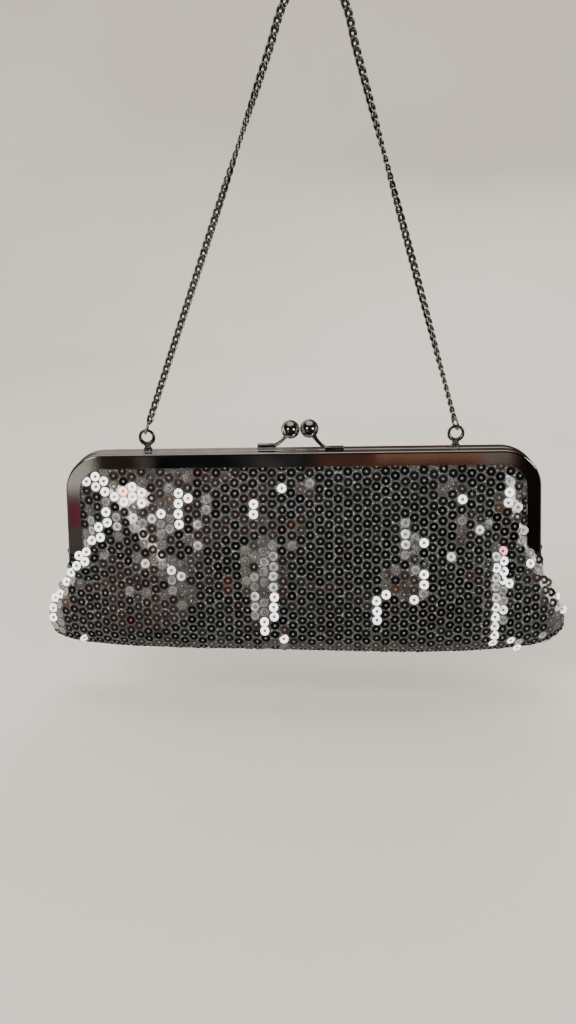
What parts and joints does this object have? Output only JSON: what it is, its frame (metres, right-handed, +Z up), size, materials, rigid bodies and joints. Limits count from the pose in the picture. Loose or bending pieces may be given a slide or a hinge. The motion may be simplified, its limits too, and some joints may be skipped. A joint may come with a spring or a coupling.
{
  "type": "clutch purse",
  "caption": "Framed clutch purse with a kiss clasp, riveted hinged half frames, sequin cloth bag, satin lining and a chain handle.",
  "frame": {"origin": "the top of the chain handle, where the hand holds it", "axes": "+Z up, +X along the frame to the right seen from the front, and the front faces -Y"},
  "size_m": [0.2558, 0.046, 0.2918],
  "materials": {
    "frame_nickel": "bright nickel plate, mirror polished",
    "chain_nickel": "nickel plate, a little tarnished between the links",
    "sequin_cloth": "fine net covered with flat silver-grey sequins",
    "satin_lining": "satin",
    "paper_cord": "matte twisted paper"
  },
  "bodies": {
    "chain": {"chain": "chain_nickel", "left_end_link": "chain_nickel", "right_end_link": "chain_nickel"},
    "back_frame": {"back_frame_channel": "frame_nickel", "back_panel": "sequin_cloth", "back_lining": "satin_lining", "back_paper_cord": "paper_cord", "back_clasp_arm": "frame_nickel", "back_clasp_ball": "frame_nickel", "left_hinge_rivet": "frame_nickel", "right_hinge_rivet": "frame_nickel", "left_chain_loop": "frame_nickel", "right_chain_loop": "frame_nickel"},
    "pouch": {"pouch": "sequin_cloth", "pouch_lining": "satin_lining"},
    "front_frame": {"front_frame_channel": "frame_nickel", "front_panel": "sequin_cloth", "front_lining": "satin_lining", "front_paper_cord": "paper_cord", "front_clasp_arm": "frame_nickel", "front_clasp_ball": "frame_nickel"}
  },
  "joints": [
    {"name": "purse_swing", "type": "hinge", "parent": "chain", "child": "back_frame", "pos_m": [-0.0086, 0, -0.18045], "axis": [1, 0, 0], "range_deg": [-95, 95]},
    {"name": "frame_open", "type": "hinge", "parent": "back_frame", "child": "pouch", "pos_m": [-0.0086, -0.0028, -0.244], "axis": [1, 0, 0], "range_deg": [0, 40]},
    {"name": "front_open", "type": "hinge", "parent": "pouch", "child": "front_frame", "pos_m": [-0.0086, -0.0028, -0.244], "axis": [1, 0, 0], "range_deg": [0, 40]}
  ],
  "couplings": [
    {"joint": "front_open", "follows": "frame_open", "ratio": 1}
  ]
}
